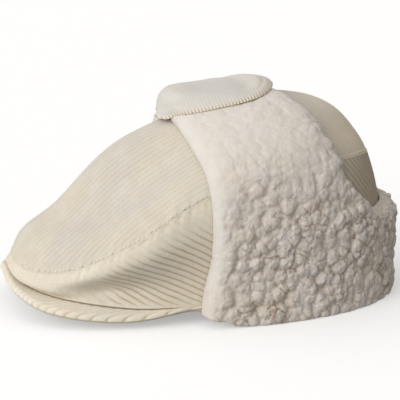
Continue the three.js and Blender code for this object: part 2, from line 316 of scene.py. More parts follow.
def seamRelief(places, edge, depth=1.0):
    # a low welt on the sewn line and uneven dents that run away from it and die out
    angle = angleOf(places[:, 0], places[:, 1])
    along = np.interp(angle, seamAngles, seamRun) / pucker["step"] + len(dents) / 2
    depth = depth * mix(1, pucker["backShare"], risen(np.abs(angle), *pucker["backSpan"]))
    i = np.clip(along.astype(int), 0, len(dents) - 3)
    wave = mix(dents[i], dents[i + 1], smooth(along - i))
    edge = np.maximum(edge, 0)
    welt = pucker["welt"] * bell(edge, pucker["weltWidth"])
    return depth * pucker["depth"] * wave * np.exp(-edge / pucker["reach"]) * smooth(edge / 2) + welt


topPanel = {
    "ribHeight": 0.34, "ribFade": 6, "columnsPerRib": 5, "rows": 104, "sections": 90, "shares": 60,
    "nap": 0.6, "seamNap": 0.35, "seamNapWidth": 5, "sag": 0.55, "sagScale": 0.035, "sagFade": 15,
}


def buildTopPanel():
    level0 = crown["seamLevel"] + seamShare
    # cross sections of the crown: how far each rib's line lies from the middle at every length along the cap
    edge = crownPoint(seamAngles[seamFront:], np.full(seamFront + 1, level0))
    gathered = (1 - np.cos(np.pi * np.linspace(0, 1, topPanel["sections"]))) / 2
    ys = mix(edge[0, 1] + 0.02, edge[-1, 1] - 0.02, gathered)
    widths = np.interp(ys, edge[:, 1], edge[:, 0])
    count = topPanel["shares"]
    shares = np.linspace(0, 1, count)
    x = widths[:, None] * np.sin(shares * np.pi / 2)[None]
    y = np.repeat(ys[:, None], count, 1)
    angle = angleOf(x, y)
    height = profile(angle, levelAtReach(angle, np.hypot(x, crown["axisY"] - y)))[..., 1]
    steps = np.hypot(np.diff(x, axis=1), np.diff(height, axis=1))
    arc = np.concatenate([np.zeros((len(ys), 1)), np.cumsum(steps, 1)], 1)
    total = arc[:, -1]
    evenX = np.stack([np.interp(shares * total[k], arc[k], x[k]) for k in range(len(ys))])
    widest = int(np.argmax(total))
    columns = int(2 * total[widest] / ribs["pitch"] * topPanel["columnsPerRib"])

    def skins(u, v, inside):
        across = (2 * u - 1) * total[widest] * 0.99999
        far = np.abs(across)
        front = np.interp(far, total[: widest + 1], ys[: widest + 1])
        back = np.interp(-far, -total[widest:], ys[widest:])
        y = mix(front, back, mix(v, (1 - np.cos(np.pi * v)) / 2, 0.35))
        row = np.clip(np.interp(y, ys, np.arange(len(ys))), 0, len(ys) - 1.001)
        share = np.clip(far / np.maximum(np.interp(y, ys, total), 1e-6), 0, 1) * (count - 1)
        i, j = row.astype(int), np.clip(share.astype(int), 0, count - 2)
        a, b = row - i, share - j
        x = mix(mix(evenX[i, j], evenX[i, j + 1], b), mix(evenX[i + 1, j], evenX[i + 1, j + 1], b), a)
        x = np.where(across < 0, -x, x)
        angle, reach = angleOf(x, y), np.hypot(x, crown["axisY"] - y)
        level = np.maximum(levelAtReach(angle, np.maximum(reach, 0.01)), level0)
        outer, inner = offCrown(angle, level, 0 * u), offCrown(angle, level, 0 * u - crown["thickness"])
        toSeam = np.linalg.norm(outer - crownPoint(angle, np.full(len(u), level0)), axis=1)
        # a high nap value near the seam takes the painted furrow shade away, so the seam shows as a lighter line
        nap = topPanel["nap"] + topPanel["seamNap"] * bell(toSeam, topPanel["seamNapWidth"])
        place = np.where(inside[:, None] > 0.5, inner, outer)
        cloth = {"place": place, "across": across / ribs["pitch"], "along": y, "edge": toSeam, "nap": nap}
        return cloth | {"normal": crownNormal(angle, level)}

    def lift(cloth):
        ridge = ribLift(cloth["across"], topPanel["ribHeight"]) * smooth(cloth["edge"] / topPanel["ribFade"])
        sag = topPanel["sag"] * unevenness(cloth["place"], topPanel["sagScale"], 3.0)
        return ridge + seamRelief(cloth["place"], cloth["edge"]) + sag * smooth(cloth["edge"] / topPanel["sagFade"])

    print("   top panel", round(2 * total[widest]), "mm across the ribs")
    return makeSlab("crown_top_cloth", columns, topPanel["rows"], skins, lift)


# spans are directions in degrees from the nose, or levels of the crown's rings, from none to full
sidePanel = {
    "ribHeight": 0.5, "ribFade": 3, "columns": 420, "rows": 80, "waist": 30,
    "slant": 47.0, "slantSpan": (22.0, 50.0), "crowding": (1.6, 1.2), "shear": (0.8, 0.22),
    "fullSpan": (41.0, 26.0), "fullness": (2.2, 1.2), "fullnessSpan": (6, 26), "innerFullness": 0.7,
    "bellyLow": 0.9, "bellyHigh": (2.4, 1.5),
    "lipNap": 0.92, "lipSpan": (1.6, 2.5), "backSpan": (95, 120), "backNap": 0.3,
    "noseNap": 0.85, "noseSpan": (47, 36), "footNap": 0.45, "footSpan": (0.5, 0.1), "mostNap": 0.93,
    "footShade": 0.95, "footShadeWidth": 1.3, "footShadeSpan": (80, 76), "nappedRib": 0.15,
    "tableSpan": (2.6, 4.6), "seamDepth": 0.75, "joinGroove": 0.4, "joinWidth": 1.1,
    "runAlong": 0.64, "runDown": 0.77,
}


def buildSidePanel(side):
    # the cut pattern: lengths along the seam and down from it give each point's place across the ribs
    perDegree, steps = 2, 69
    angles = np.linspace(0, 180, 180 * perDegree + 1)
    levels = np.linspace(0, crown["seamLevel"] - seamShare, steps + 1)
    grid = crownPoint(angles[:, None] + 0 * levels[None], levels[None] + 0 * angles[:, None])
    down = np.linalg.norm(np.diff(grid, axis=1), axis=2)
    down = np.concatenate([np.cumsum(down[:, ::-1], 1)[:, ::-1], np.zeros((len(angles), 1))], 1)
    along = lengthAlong(grid[:, -1])
    opening = risen(angles, *sidePanel["slantSpan"])
    slant = np.radians(sidePanel["slant"]) * opening
    crowding = mix(*sidePanel["crowding"], opening)
    across = summed(np.cos(slant[1:]) * crowding[1:] * np.diff(along))
    waist = lengthAlong(grid[:, sidePanel["waist"]])
    waist /= waist[-1]

    def skins(u, v, inside):
        angle = np.clip(np.interp(u, waist, angles), 0.02, 179.98)
        level = levels[-1] * v
        column, row = angle * perDegree, v * steps
        i, j = np.clip(column.astype(int), 0, len(angles) - 2), np.clip(row.astype(int), 0, steps - 1)
        a, b = column - i, row - j
        drop = mix(mix(down[i, j], down[i, j + 1], b), mix(down[i + 1, j], down[i + 1, j + 1], b), a)
        whole = np.interp(angle, angles, down[:, 0])
        sheared = drop * (sidePanel["shear"][0] + sidePanel["shear"][1] * drop / whole)
        sheared *= np.interp(angle, angles, np.sin(slant) * crowding)
        rib = (np.interp(angle, angles, across) - sheared) / ribs["pitch"]
        # round the nose the cloth hangs full, straight from the lip to the bill, and the hollow opens behind it
        at = profile(angle, level)
        wall = mix(reachAt(crown["rings"][0], angle), reachAt(crown["rings"][2], angle), smooth(level / 1.3))
        full = risen(angle, *sidePanel["fullSpan"])
        belly = full * smooth(level / sidePanel["bellyLow"]) * risen(level, *sidePanel["bellyHigh"])
        fill = full * np.where(level < 2, np.maximum(wall - at[..., 0], 0), 0)
        fill += mix(*sidePanel["fullness"], risen(angle, *sidePanel["fullnessSpan"])) * belly
        forward = place(side * angle, fill, 0 * fill) - place(side * angle, 0 * fill, 0 * fill)
        outer = offCrown(side * angle, level, 0 * u) + forward
        inner = offCrown(side * angle, level, 0 * u - crown["thickness"]) + forward * sidePanel["innerFullness"]
        # the pile stands up over the lip and round the nose, lowering the ribs there, and lies flat in the hollow;
        # the same value sets the painted shade of the hollow, of the back and of the furrows
        nap = sidePanel["lipNap"] * risen(level, *sidePanel["lipSpan"])
        nap *= mix(1, sidePanel["backNap"], risen(angle, *sidePanel["backSpan"]))
        nap += sidePanel["noseNap"] * risen(angle, *sidePanel["noseSpan"]) * smooth(level / 0.5)
        nap += sidePanel["footNap"] * risen(level, *sidePanel["footSpan"])
        nap = np.clip(nap, 0, sidePanel["mostNap"])
        # a value above 1 stands for a painted brown shade line where the panel goes in between the crown and the
        # bill
        atFoot = bell(whole - drop, sidePanel["footShadeWidth"])
        nap += sidePanel["footShade"] * atFoot * risen(angle, *sidePanel["footShadeSpan"])
        spot = np.where(inside[:, None] > 0.5, inner, outer)
        run = np.interp(angle, angles, along) * sidePanel["runAlong"] + drop * sidePanel["runDown"]
        cloth = {"place": spot, "across": rib, "along": run, "edge": drop, "nap": nap}
        return cloth | {"normal": crownNormal(side * angle, level)}

    def lift(cloth):
        shown = smooth(cloth["edge"] / sidePanel["ribFade"]) * risen(cloth["place"][:, 2], *sidePanel["tableSpan"])
        ridge = ribLift(cloth["across"], sidePanel["ribHeight"])
        ridge *= shown * mix(1, sidePanel["nappedRib"], np.minimum(cloth["nap"], 1))
        join = sidePanel["joinGroove"] * bell(cloth["place"][:, 0], sidePanel["joinWidth"])
        return ridge + seamRelief(cloth["place"], cloth["edge"], sidePanel["seamDepth"]) - join

    name = "crown_side_cloth_" + ("left" if side > 0 else "right")
    return makeSlab(name, sidePanel["columns"], sidePanel["rows"], skins, lift)


# spans are directions in degrees from the nose
bill = {
    "end": 73.9, "thickness": 4.6, "endThickness": 2.8, "thinSpan": (50, 70), "cornerThickness": 1.2,
    "cornerSpan": (64, 72.5), "tuckSpan": (62, 72.5), "tuckShare": 0.8, "tuckOut": 0.8, "seatGap": 0.5,
    "seatEnd": 0.24, "footEnd": 0.32, "stripCurve": 1.15, "rimShare": 0.62, "crowned": 0.5,
    "ribHeight": 0.9, "hiddenRib": 0.2, "innerRib": 0.4, "columns": 500, "rows": 44,
    "nap": 0.68, "innerNap": 0.2, "footShade": 0.9, "footShadeWidth": 1.2,
    "slantAt": [0, 19, 24, 29, 38, 46, 55, 73], "slant": [0, 18, 35, 50, 62, 67, 73, 75],
}


def buildBill():
    # the ribs start straight at the middle and fan out towards the ends
    turns = np.linspace(0, bill["end"], 400)
    path = place(turns, reachAt(billEdge, turns), heightAt(billEdge, turns))
    slant = np.radians(np.interp(turns, bill["slantAt"], bill["slant"]))
    count = summed(np.cos(slant[1:]) * np.diff(lengthAlong(path)))

    def skins(u, v, inside):
        angle = mix(-bill["end"], bill["end"], u)
        foot, edge, brow = crown["rings"][0], billEdge, browBand
        footReach, footHeight = reachAt(foot, angle), heightAt(foot, angle) - bill["seatGap"]
        seat = footReach - 2 * crown["thickness"]
        edgeReach, edgeHeight = reachAt(edge, angle), heightAt(edge, angle)
        browReach, browHeight = reachAt(brow, angle), heightAt(brow, angle)
        apart = np.abs(angle)
        thick = mix(bill["thickness"], bill["endThickness"], risen(apart, *bill["thinSpan"]))
        thick = mix(thick, bill["cornerThickness"], risen(apart, *bill["cornerSpan"]))
        tucked = risen(apart, *bill["tuckSpan"]) * bill["tuckShare"]
        edgeReach = mix(edgeReach, footReach + bill["tuckOut"], tucked)
        # v runs from the brow to the seat under the crown, over the visible strip, and round the rim
        seatEnd, footEnd = bill["seatEnd"], bill["footEnd"]
        toSeat, toFoot = np.clip(v / seatEnd, 0, 1), np.clip((v - seatEnd) / (footEnd - seatEnd), 0, 1)
        toRim = np.clip((v - footEnd) / (1 - footEnd), 0, 1)
        strip = np.sin(toRim * np.pi / 2) ** bill["stripCurve"]
        reach = mix(mix(mix(browReach, seat, toSeat), footReach, toFoot), edgeReach, strip)
        under = mix(browHeight, footHeight, toSeat) - 0.2 * toFoot - thick / 2
        middle = mix(under, edgeHeight + thick / 2, strip ** bill["stripCurve"])
        fromRim = np.clip((edgeReach - reach) / (thick * bill["rimShare"]), 0, 1)
        half = thick / 2 * np.sqrt(np.maximum(1 - (1 - fromRim) ** 2, 0.0009))
        crowned = bill["crowned"] * np.sin(np.pi * toRim)
        height = middle + np.where(inside > 0.5, -half, half + crowned)
        depth = edgeReach - reach
        turn = np.radians(np.interp(apart, bill["slantAt"], bill["slant"]))
        rib = np.sign(angle) * (np.interp(apart, turns, count) - depth * np.sin(turn)) / ribs["pitch"]
        nap = bill["nap"] + bill["innerNap"] * risen(depth, 2, 8)
        # a painted brown shade line where the bill goes in under the crown's foot
        nap += bill["footShade"] * bell(reach - footReach, bill["footShadeWidth"])
        # the ribs stand out most round the rim
        shown = np.where(v < footEnd, bill["hiddenRib"], mix(1, bill["innerRib"], smooth(depth / 6)))
        spot = place(angle, reach, height)
        return {"place": spot, "across": rib + 0.5, "along": depth, "edge": shown, "nap": nap}

    def lift(cloth):
        return ribLift(cloth["across"], bill["ribHeight"]) * cloth["edge"]

    return makeSlab("bill_cloth", bill["columns"], bill["rows"], skins, lift)


tab = {
    "sewnX": -40.0, "freeX": 39.5, "frontY": -34.95, "backY": 42.55, "widestX": 4.0, "sewnShare": 0.6,
    "hookY": -32.45, "restY": -21.45, "frontLift": 3.2, "lift": 10.2, "skew": 0.3, "thickness": 3.2,
    "ribPitch": 1.95, "ribHeight": 0.5, "ribShare": (1.5, 0.15), "rimRound": 3.4, "columns": 60, "ribRows": 5,
    "droop": 1.9, "droopWidth": 4.5, "tuck": (2.6, 1.0), "tuckWidth": 3.5, "tuckSpan": (-16, -26),
    # swells: height, place along the head, width; hems: height, distance from the edge, width
    "swells": [(5.6, -18, 19), (-2.0, 24, 7), (0.9, 36, 6)], "swellFade": 13, "underSwell": 0.3,
    "nap": (0.3, 0.97), "napSpan": (0.3, 2.1), "hems": [(-0.4, 4.6, 1.0), (0.25, 2.4, 1.3)],
    "curve": 2.2, "inset": 0.985, "soft": 0.35, "softScale": 0.07,
}


def buildTab():
    middleY, halfY = (tab["frontY"] + tab["backY"]) / 2, (tab["backY"] - tab["frontY"]) / 2
    xs = np.linspace(tab["sewnX"], tab["freeX"] - 0.05, 300)
    narrow = mix(1, tab["sewnShare"], np.clip((tab["widestX"] - xs) / (tab["widestX"] - tab["sewnX"]), 0, 1))
    free = np.clip((xs - tab["widestX"]) / (tab["freeX"] - tab["widestX"]), 0, 1)
    half = halfY * narrow * (1 - free ** tab["curve"]) ** (1 / tab["curve"])
    widest = int(np.argmax(half))
    rows = int(2 * halfY / tab["ribPitch"] * tab["ribRows"])

    def skins(u, v, inside):
        # v picks a rib's line across the head, u goes from the sewn end to the free one
        off = (2 * v - 1) * halfY * tab["inset"]
        start = np.interp(np.abs(off), half[: widest + 1], xs[: widest + 1])
        end = np.interp(-np.abs(off), -half[widest:], xs[widest:])
        straight = mix(start, end, mix(u, (1 - np.cos(np.pi * u)) / 2, 0.7))
        share = (straight - tab["sewnX"]) / (tab["freeX"] - tab["sewnX"])
        x, y = straight + tab["skew"] * off * share, middleY + off
        seated = risen(y, tab["hookY"], tab["restY"])
        low = mix(tab["frontLift"], tab["lift"], seated)
        sideways = np.interp(straight, xs, half) - np.abs(off)
        toEdge = np.minimum.reduce([sideways * 0.8, straight - tab["sewnX"], (end - straight) * 0.9])
        rim = np.sqrt(np.maximum(1 - (1 - np.clip(toEdge / tab["rimRound"], 0, 1)) ** 2, 0.001))
        middle = low + tab["thickness"] / 2 + 0.2
        middle -= tab["droop"] * seated * bell(toEdge, tab["droopWidth"])
        offset = middle + np.where(inside > 0.5, -1, 1) * (tab["thickness"] / 2 - 0.2) * rim
        # the front end is tucked in towards the crown; the padding swells behind it and sinks a little further back
        tuck = bell(toEdge, tab["tuckWidth"]) * risen(y, *tab["tuckSpan"])
        y, offset = y + tab["tuck"][0] * tuck, offset - tab["tuck"][1] * tuck
        swell = sum(height * bell(y - at, width) for height, at, width in tab["swells"])
        offset += swell * smooth(toEdge / tab["swellFade"]) * np.where(inside > 0.5, tab["underSwell"], 1)
        nap = mix(*tab["nap"], risen(toEdge, *tab["napSpan"]))
        spot = offSummit(x, y, offset)
        return {"place": spot, "across": off / tab["ribPitch"] + 0.5, "along": x, "edge": toEdge, "nap": nap}

    def lift(cloth):
        hem = sum(height * bell(cloth["edge"] - at, width) for height, at, width in tab["hems"])
        soft = tab["soft"] * unevenness(cloth["place"], tab["softScale"], 9.0) * smooth(cloth["edge"] / 6)
        return ribLift(cloth["across"], tab["ribHeight"]) * mix(*tab["ribShare"], cloth["nap"]) + hem + soft

    return makeSlab("tab_cloth", tab["columns"], rows, skins, lift)


stitches = {"step": 3.1, "length": 2.1, "radius": 0.42, "in": 2.0, "out": 0.15, "flatness": 1.2}


def buildStitches():
    bm = bmesh.new()
    count = int((seamRun[-1] - seamRun[0]) / stitches["step"])
    angles = np.interp(seamRun[0] + (np.arange(count) + 0.5) * stitches["step"], seamRun, seamAngles)
    levels = np.full(count, float(crown["seamLevel"]))
    rise = np.linalg.norm(crownPoint(angles, levels + 0.1) - crownPoint(angles, levels), axis=1) * 10
    levels += stitches["in"] / rise
    outward = seamRelief(crownPoint(angles, levels), 0 * angles + stitches["in"]) + stitches["out"]
    middles, ahead = offCrown(angles, levels, outward), offCrown(angles + 0.4, levels, outward)
    shape = (stitches["length"] / 2, stitches["radius"] * stitches["flatness"], stitches["radius"])
    for middle, run in zip(middles, ahead - middles):
        turn = Vector(run).to_track_quat("X", "Z").to_matrix().to_4x4()
        made = bmesh.ops.create_uvsphere(bm, u_segments=6, v_segments=5, radius=1)["verts"]
        bmesh.ops.scale(bm, verts=made, vec=shape)
        bmesh.ops.transform(bm, verts=made, matrix=turn)
        bmesh.ops.translate(bm, verts=made, vec=middle)
    bmesh.ops.scale(bm, verts=bm.verts, vec=(mm, mm, mm))
    mesh = bpy.data.meshes.new("seam_stitches")
    bm.to_mesh(mesh)
    bm.free()
    return finishMesh("seam_stitches", mesh)


# spans are heights in mm or, for the band, directions in degrees from the nose
fleece = {
    "voxel": 0.00088, "pivotZ": 30.0, "seed": 11, "smoothings": 8,
    "softSpan": (56.0, 116.0), "softShare": 0.22, "softUneven": 16,
    "edgeStrip": 19.0, "edgeShare": 0.22, "mmPerDegree": 1.65,
    "rearEdge": 16.0, "rearShare": 0.85, "rearSpan": (129, 121), "rearMmPerDegree": 1.75,
    "shownSpan": (-0.35, 0.25), "evenDepth": 0.88, "unevenDepth": 0.4, "calmCurl": 0.12,
    "swell": 0.9, "grain": 0.15, "bandSink": 1.7, "bandSpan": (132, 152), "bandRise": (8, 28),
    "tabSpan": (118, 124), "tabSide": (46, 41), "tabShare": 0.95,
    "join": 0.38, "joinSpan": (0.5, 3.0), "joinWave": 1.6, "joinWaveReach": 9,
    "lean": [(1.6, 0.11, (11, 23, 37)), (0.7, 0.3, (41, 53, 67))],
    "lumps": {"cell": 6.9, "radius": (4.2, 6.0), "height": 3.0, "uneven": 0.4, "level": 1.05},
    "curls": {"cell": 3.3, "radius": (1.8, 2.8), "height": 0.85, "uneven": 0.3, "level": 0.9},
    # the creases' widths set how wide the painted crease shade is
    "creases": (0.14, 0.12), "curlCrease": 0.35,  # how wide the lumps' and the curls' creases look
}
lobeFront = {"rise": [-13, -4, 7, 18, 30, 41, 55, 73.5], "angle": [73.4, 75, 77.5, 78.3, 78, 75.5, 67, 17]}
lobeRear = {"rise": [17, 25.5, 34, 49, 69.5], "angle": [147, 136.5, 133, 136.5, 166]}


def domes(points, look, rng):
    # rounded heaps of mixed sizes round scattered middles: their height at each point, and how near a crease lies
    cells = {}
    for k in rng.permutation(len(points)):
        cells.setdefault(tuple((points[k] // look["cell"]).astype(int)), k)
    chosen = points[list(cells.values())]
    radius = rng.uniform(*look["radius"], len(chosen))
    extra = rng.uniform(-look["uneven"], look["uneven"], len(chosen))
    tree = kdtree.KDTree(len(chosen))
    for n, middle in enumerate(chosen):
        tree.insert(middle, n)
    tree.balance()
    tops = np.full((len(points), 5), -2.0)
    for k, point in enumerate(points):
        for n, (_, index, distance) in enumerate(tree.find_n(point, 5)):
            share = distance / radius[index]
            tops[k, n] = max(1 - share * share, 0.0) ** 0.5 + extra[index] if share < 1 else extra[index] - share + 1
    tops.sort(axis=1)
    return tops[:, -1], tops[:, -1] - tops[:, -2]


def pileBase(node):
    # an even mesh over a copy of the flap's solid
    bm = bmesh.new()
    bm.from_mesh(bpy.data.objects[node].data)
    bmesh.ops.remove_doubles(bm, verts=bm.verts, dist=1e-6)
    mesh = bpy.data.meshes.new(node + "_pile")
    bm.to_mesh(mesh)
    bm.free()
    piece = bpy.data.objects.new(node.replace("ear_flap", "fleece_flap"), mesh)
    bpy.context.scene.collection.objects.link(piece)
    remesh = piece.modifiers.new("remesh", "REMESH")
    remesh.mode, remesh.voxel_size, remesh.adaptivity = "VOXEL", fleece["voxel"], 0
    soften = piece.modifiers.new("soften", "SMOOTH")
    soften.iterations, soften.factor = fleece["smoothings"], 0.5
    pile = bpy.data.meshes.new_from_object(piece.evaluated_get(bpy.context.evaluated_depsgraph_get()))
    piece.modifiers.clear()
    piece.data = pile
    return piece


def buildFleece():
    # both flaps at once, so that the curls go on over the seam at the back
    pieces = [pileBase("ear_flap_left"), pileBase("ear_flap_right")]
    points = np.concatenate([readPoints(piece.data) / mm for piece in pieces])
    normals = np.concatenate([readNormals(piece.data) for piece in pieces])
    side, apart = np.sign(points[:, 0]), np.abs(points[:, 0])
    rng = np.random.default_rng(fleece["seed"])
    angle = angleOf(apart, points[:, 1])
    away = points - np.array([0, crown["axisY"], fleece["pivotZ"]])
    outward = away / np.linalg.norm(away, axis=1, keepdims=True)
    rise = np.degrees(np.arcsin(outward[:, 2]))
    shown = risen((normals * outward).sum(1), *fleece["shownSpan"])
    # the curls lean and crowd each other, so their middles are looked up from shifted places
    lean = sum(
        far * np.stack([unevenness(points, scale, seed) for seed in seeds], 1)
        for far, scale, seeds in fleece["lean"]
    )
    lumps, curls = fleece["lumps"], fleece["curls"]
    lump, lumpEdge = domes(points + lean, lumps, rng)
    curl, curlEdge = domes(points + lean * 0.7, curls, rng)
    swell = unevenness(points, 0.055, 5.0)
    soft = risen(points[:, 2] + fleece["softUneven"] * swell, *fleece["softSpan"])
    # the pile is short along the lobe's front edge and full along its rear one
    toRear = np.interp(rise, lobeRear["rise"], lobeRear["angle"]) - angle
    toRear *= fleece["rearMmPerDegree"] * np.cos(np.radians(rise))
    rear = risen(toRear, fleece["rearEdge"], 0) * risen(rise, 14, 22) * risen(points[:, 2], *fleece["rearSpan"])
    soft *= 1 - fleece["rearShare"] * rear
    strip = (angle - np.interp(rise, lobeFront["rise"], lobeFront["angle"])) * fleece["mmPerDegree"]
    trimmed = risen(strip, 3, 3 + fleece["edgeStrip"])
    depth = mix(1, fleece["softShare"], soft) * mix(fleece["edgeShare"], 1, trimmed)
    depth *= fleece["evenDepth"] + fleece["unevenDepth"] * swell
    lift = lumps["height"] * (lump - lumps["level"]) * depth
    lift += curls["height"] * (curl - curls["level"]) * mix(fleece["calmCurl"], 1, depth)
    lift += fleece["swell"] * swell * trimmed + fleece["grain"] * unevenness(points, 0.8, 2.0) * depth
    # the neck band lies flatter, and the tab presses on the lobes' ends
    lift -= fleece["bandSink"] * risen(angle, *fleece["bandSpan"]) * risen(points[:, 2], *fleece["bandRise"])
    underTab = risen(points[:, 2], *fleece["tabSpan"]) * risen(apart, *fleece["tabSide"])
    lift = np.where(lift > 0, lift * (1 - fleece["tabShare"] * underTab), lift)
    moved = points + normals * (lift * shown * mix(0.3, 1, smooth(points[:, 2] / 4)))[:, None]
    moved[:, 2] = np.maximum(moved[:, 2], 0.02)
    # the halves meet on a slightly wavy line at the back
    near = 1 - risen(apart, *fleece["joinSpan"])
    wave = fleece["joinWave"] * unevenness(points * (0, 1, 1), 0.09, 4.0)
    wave *= 1 - smooth(apart / fleece["joinWaveReach"])
    moved[:, 0] = side * np.maximum(mix(np.abs(moved[:, 0]), apart - fleece["join"], near), 0.03) + wave
    # how deep in a crease each point lies, how calm the pile is there and how high it stands, for the colour's
    # painted shade
    lumpCrease, curlCrease = (np.exp(-edge / far) for edge, far in zip((lumpEdge, curlEdge), fleece["creases"]))
    creaseShade = (lumpCrease + fleece["curlCrease"] * curlCrease) * depth
    height = np.clip(0.55 * lump + 0.3 * curl, 0, 1)
    values = np.stack([np.clip(creaseShade, 0, 1) * shown, 1 - np.clip(depth, 0, 1), height], 1)
    first = 0
    for piece in pieces:
        last = first + len(piece.data.vertices)
        movePoints(piece.data, moved[first:last])
        bm = bmesh.new()
        bm.from_mesh(piece.data)
        every = {"use_axis_x": True, "use_axis_y": True, "use_axis_z": True}
        bmesh.ops.smooth_vert(bm, verts=bm.verts, factor=0.5, **every)
        bm.to_mesh(piece.data)
        bm.free()
        writeVectors(piece.data, "pile", values[first:last])
        piece.data.shade_smooth()
        print("  ", piece.name, sum(len(face.vertices) - 2 for face in piece.data.polygons), "triangles")
        first = last
    return pieces


class Wire:
    # a shader socket that takes part in Python arithmetic
    def __init__(self, tree, socket):
        self.tree, self.socket = tree, socket

    def calc(self, operation, *others):
        node = self.tree.make("ShaderNodeMath", {"operation": operation}, dict(enumerate((self, *others))))
        return node[0]

    def __add__(self, other):
        return self.calc("ADD", other)

    def __radd__(self, other):
        return self.calc("ADD", other)

    def __sub__(self, other):
        return self.calc("SUBTRACT", other)

    def __rsub__(self, other):
        return self.tree.make("ShaderNodeMath", {"operation": "SUBTRACT"}, {0: other, 1: self})[0]

    def __mul__(self, other):
        return self.calc("MULTIPLY", other)

    def __rmul__(self, other):
        return self.calc("MULTIPLY", other)

    def __pow__(self, other):
        return self.calc("POWER", other)

    def __abs__(self):
        return self.calc("ABSOLUTE")

    def fraction(self):
        return self.calc("FRACT")

    def ramp(self, low, high):
        # 0 below low, 1 above high, smooth between
        settings = {"interpolation_type": "SMOOTHSTEP", "clamp": True}
        return self.tree.make("ShaderNodeMapRange", settings, {"Value": self, "From Min": low, "From Max": high})[0]


class Tree:
    def __init__(self, owner):
        owner.use_nodes = True
        self.nodes, self.links = owner.node_tree.nodes, owner.node_tree.links

    def make(self, kind, settings=None, inputs=None):
        node = self.nodes.new(kind)
        for key, value in (settings or {}).items():
            setattr(node, key, value)
        for key, value in (inputs or {}).items():
            self.join(value, node.inputs[key])
        return [Wire(self, out) for out in node.outputs if out.enabled]

    def join(self, value, socket):
        if isinstance(value, Wire):
            self.links.new(value.socket, socket)
        else:
            socket.default_value = value

    def blend(self, share, a, b):
        # two colours by a share
        node = self.nodes.new("ShaderNodeMix")
        node.data_type = "RGBA"
        for value, socket in zip((share, a, b), (node.inputs[0], node.inputs[6], node.inputs[7])):
            self.join(value, socket)
        return Wire(self, node.outputs[2])

    def vector(self, operation, a, b):
        node = self.nodes.new("ShaderNodeVectorMath")
        node.operation = operation
        for value, socket in zip((a, b), node.inputs):
            self.join(value, socket)
        return Wire(self, node.outputs[0])

    def speckle(self, place, scale, detail=3.0, roughness=0.5):
        inputs = {"Vector": place, "Scale": scale, "Detail": detail, "Roughness": roughness}
        return self.make("ShaderNodeTexNoise", {}, inputs)[0]


class Shader(Tree):
    def __init__(self, name, constants):
        self.material = bpy.data.materials.new(name)
        super().__init__(self.material)
        self.surface = self.nodes["Principled BSDF"]
        for key, value in constants.items():
            self.surface.inputs[key].default_value = value


def linear(red, green, blue):
    parts = [c / 255 for c in (red, green, blue)]
    return (*(c / 12.92 if c <= 0.04045 else ((c + 0.055) / 1.055) ** 2.4 for c in parts), 1)


def corduroyMaterial(name, look):
    plain = {"Roughness": 0.9, "Specular IOR Level": 0.12, "Sheen Weight": look["sheen"], "Sheen Roughness": 0.45}
    shader = Shader(name, plain)
    cloth = shader.make("ShaderNodeAttribute", {"attribute_name": "cloth"})[1]
    parts = shader.make("ShaderNodeSeparateXYZ", {}, {0: cloth})
    spot = shader.make("ShaderNodeTexCoord")[3]
    # a little wander keeps the furrows from being ruled lines
    wander = shader.speckle(spot, 140.0, 2.0)
    inFurrow = abs((parts[0] + (wander - 0.5) * 0.2).fraction() * 2.0 - 1.0)
    outside = parts[2].ramp(-0.6, -0.2)
    # the cut pile stands in tufts along each rib and closes over the furrows where it isn't pressed; where they stay
    # open the furrows get painted shade
    stretched = shader.vector("MULTIPLY", cloth, (3.2, look["tuftLength"], 0.0))
    tufts = shader.speckle(stretched, 1.0, 3.0, 0.6)
    patch = shader.speckle(spot, 24.0, 3.0)
    bloom = shader.speckle(spot, 95.0, 3.0, 0.6)
    nap = shader.speckle(spot, 520.0, 3.0, 0.65)
    closed = (parts[2] + (bloom - 0.5) * 0.5).ramp(-0.1, 1.0)
    shadeAndRimMask = 1.0 - closed
    furrowShade = inFurrow.ramp(look["furrowFrom"], 1.0) * outside * (1.0 - closed * 0.93) * (0.75 + tufts * 0.5)
    colour = shader.blend(patch.ramp(0.38, 0.64), look["cool"], look["warm"])
    colour = shader.blend(bloom.ramp(0.42, 0.72) * look["bloom"], colour, look["light"])
    colour = shader.blend(nap.ramp(0.35, 0.7) * 0.22 + tufts.ramp(0.55, 0.8) * 0.2, colour, look["shade"])
    # painted shade where the nap value is low, in the side panels' hollow under the lip and towards their back; on
    # the tab the same mask warms the rim towards cream
    colour = shader.blend(shadeAndRimMask * look["hollowShadeAndRimShare"], colour, look["hollowShadeAndRimTone"])
    # painted shade: a brown darkening in the open furrows
    colour = shader.blend(furrowShade * look["furrowStrength"], colour, look["furrowShade"])
    # towards the back the colour takes a painted tone: painted shade on the side panels, painted light on the top
    # panel
    length = shader.make("ShaderNodeSeparateXYZ", {}, {0: spot})[1]
    colour = shader.blend(length.ramp(0.05, 0.115) * outside * look["turned"], colour, look["paintedBackTone"])
    # values above 1 paint the brown shade line where the crown's foot meets the bill
    colour = shader.blend(parts[2].ramp(1.15, 1.75) * 0.75, colour, look["furrowShade"])
    twill = shader.make("ShaderNodeTexWave", {"bands_direction": "DIAGONAL"}, {"Vector": spot, "Scale": 380.0})[1]
    lining = shader.blend(twill * 0.3 + nap * 0.3, look["backing"], look["shade"])
    colour = shader.blend(1.0 - outside, colour, lining)
    shader.join(colour, shader.surface.inputs["Base Color"])
    shader.join(0.86 + nap * 0.12, shader.surface.inputs["Roughness"])
    height = (1.0 - inFurrow**3.0) * outside * (1.0 - closed * 0.6) * 0.55 + tufts * 0.25 + nap * 0.3
    bump = {"Strength": look["bump"], "Distance": 0.0007, "Height": height + bloom * 0.5}
    shader.join(shader.make("ShaderNodeBump", {}, bump)[0], shader.surface.inputs["Normal"])
    return shader.material


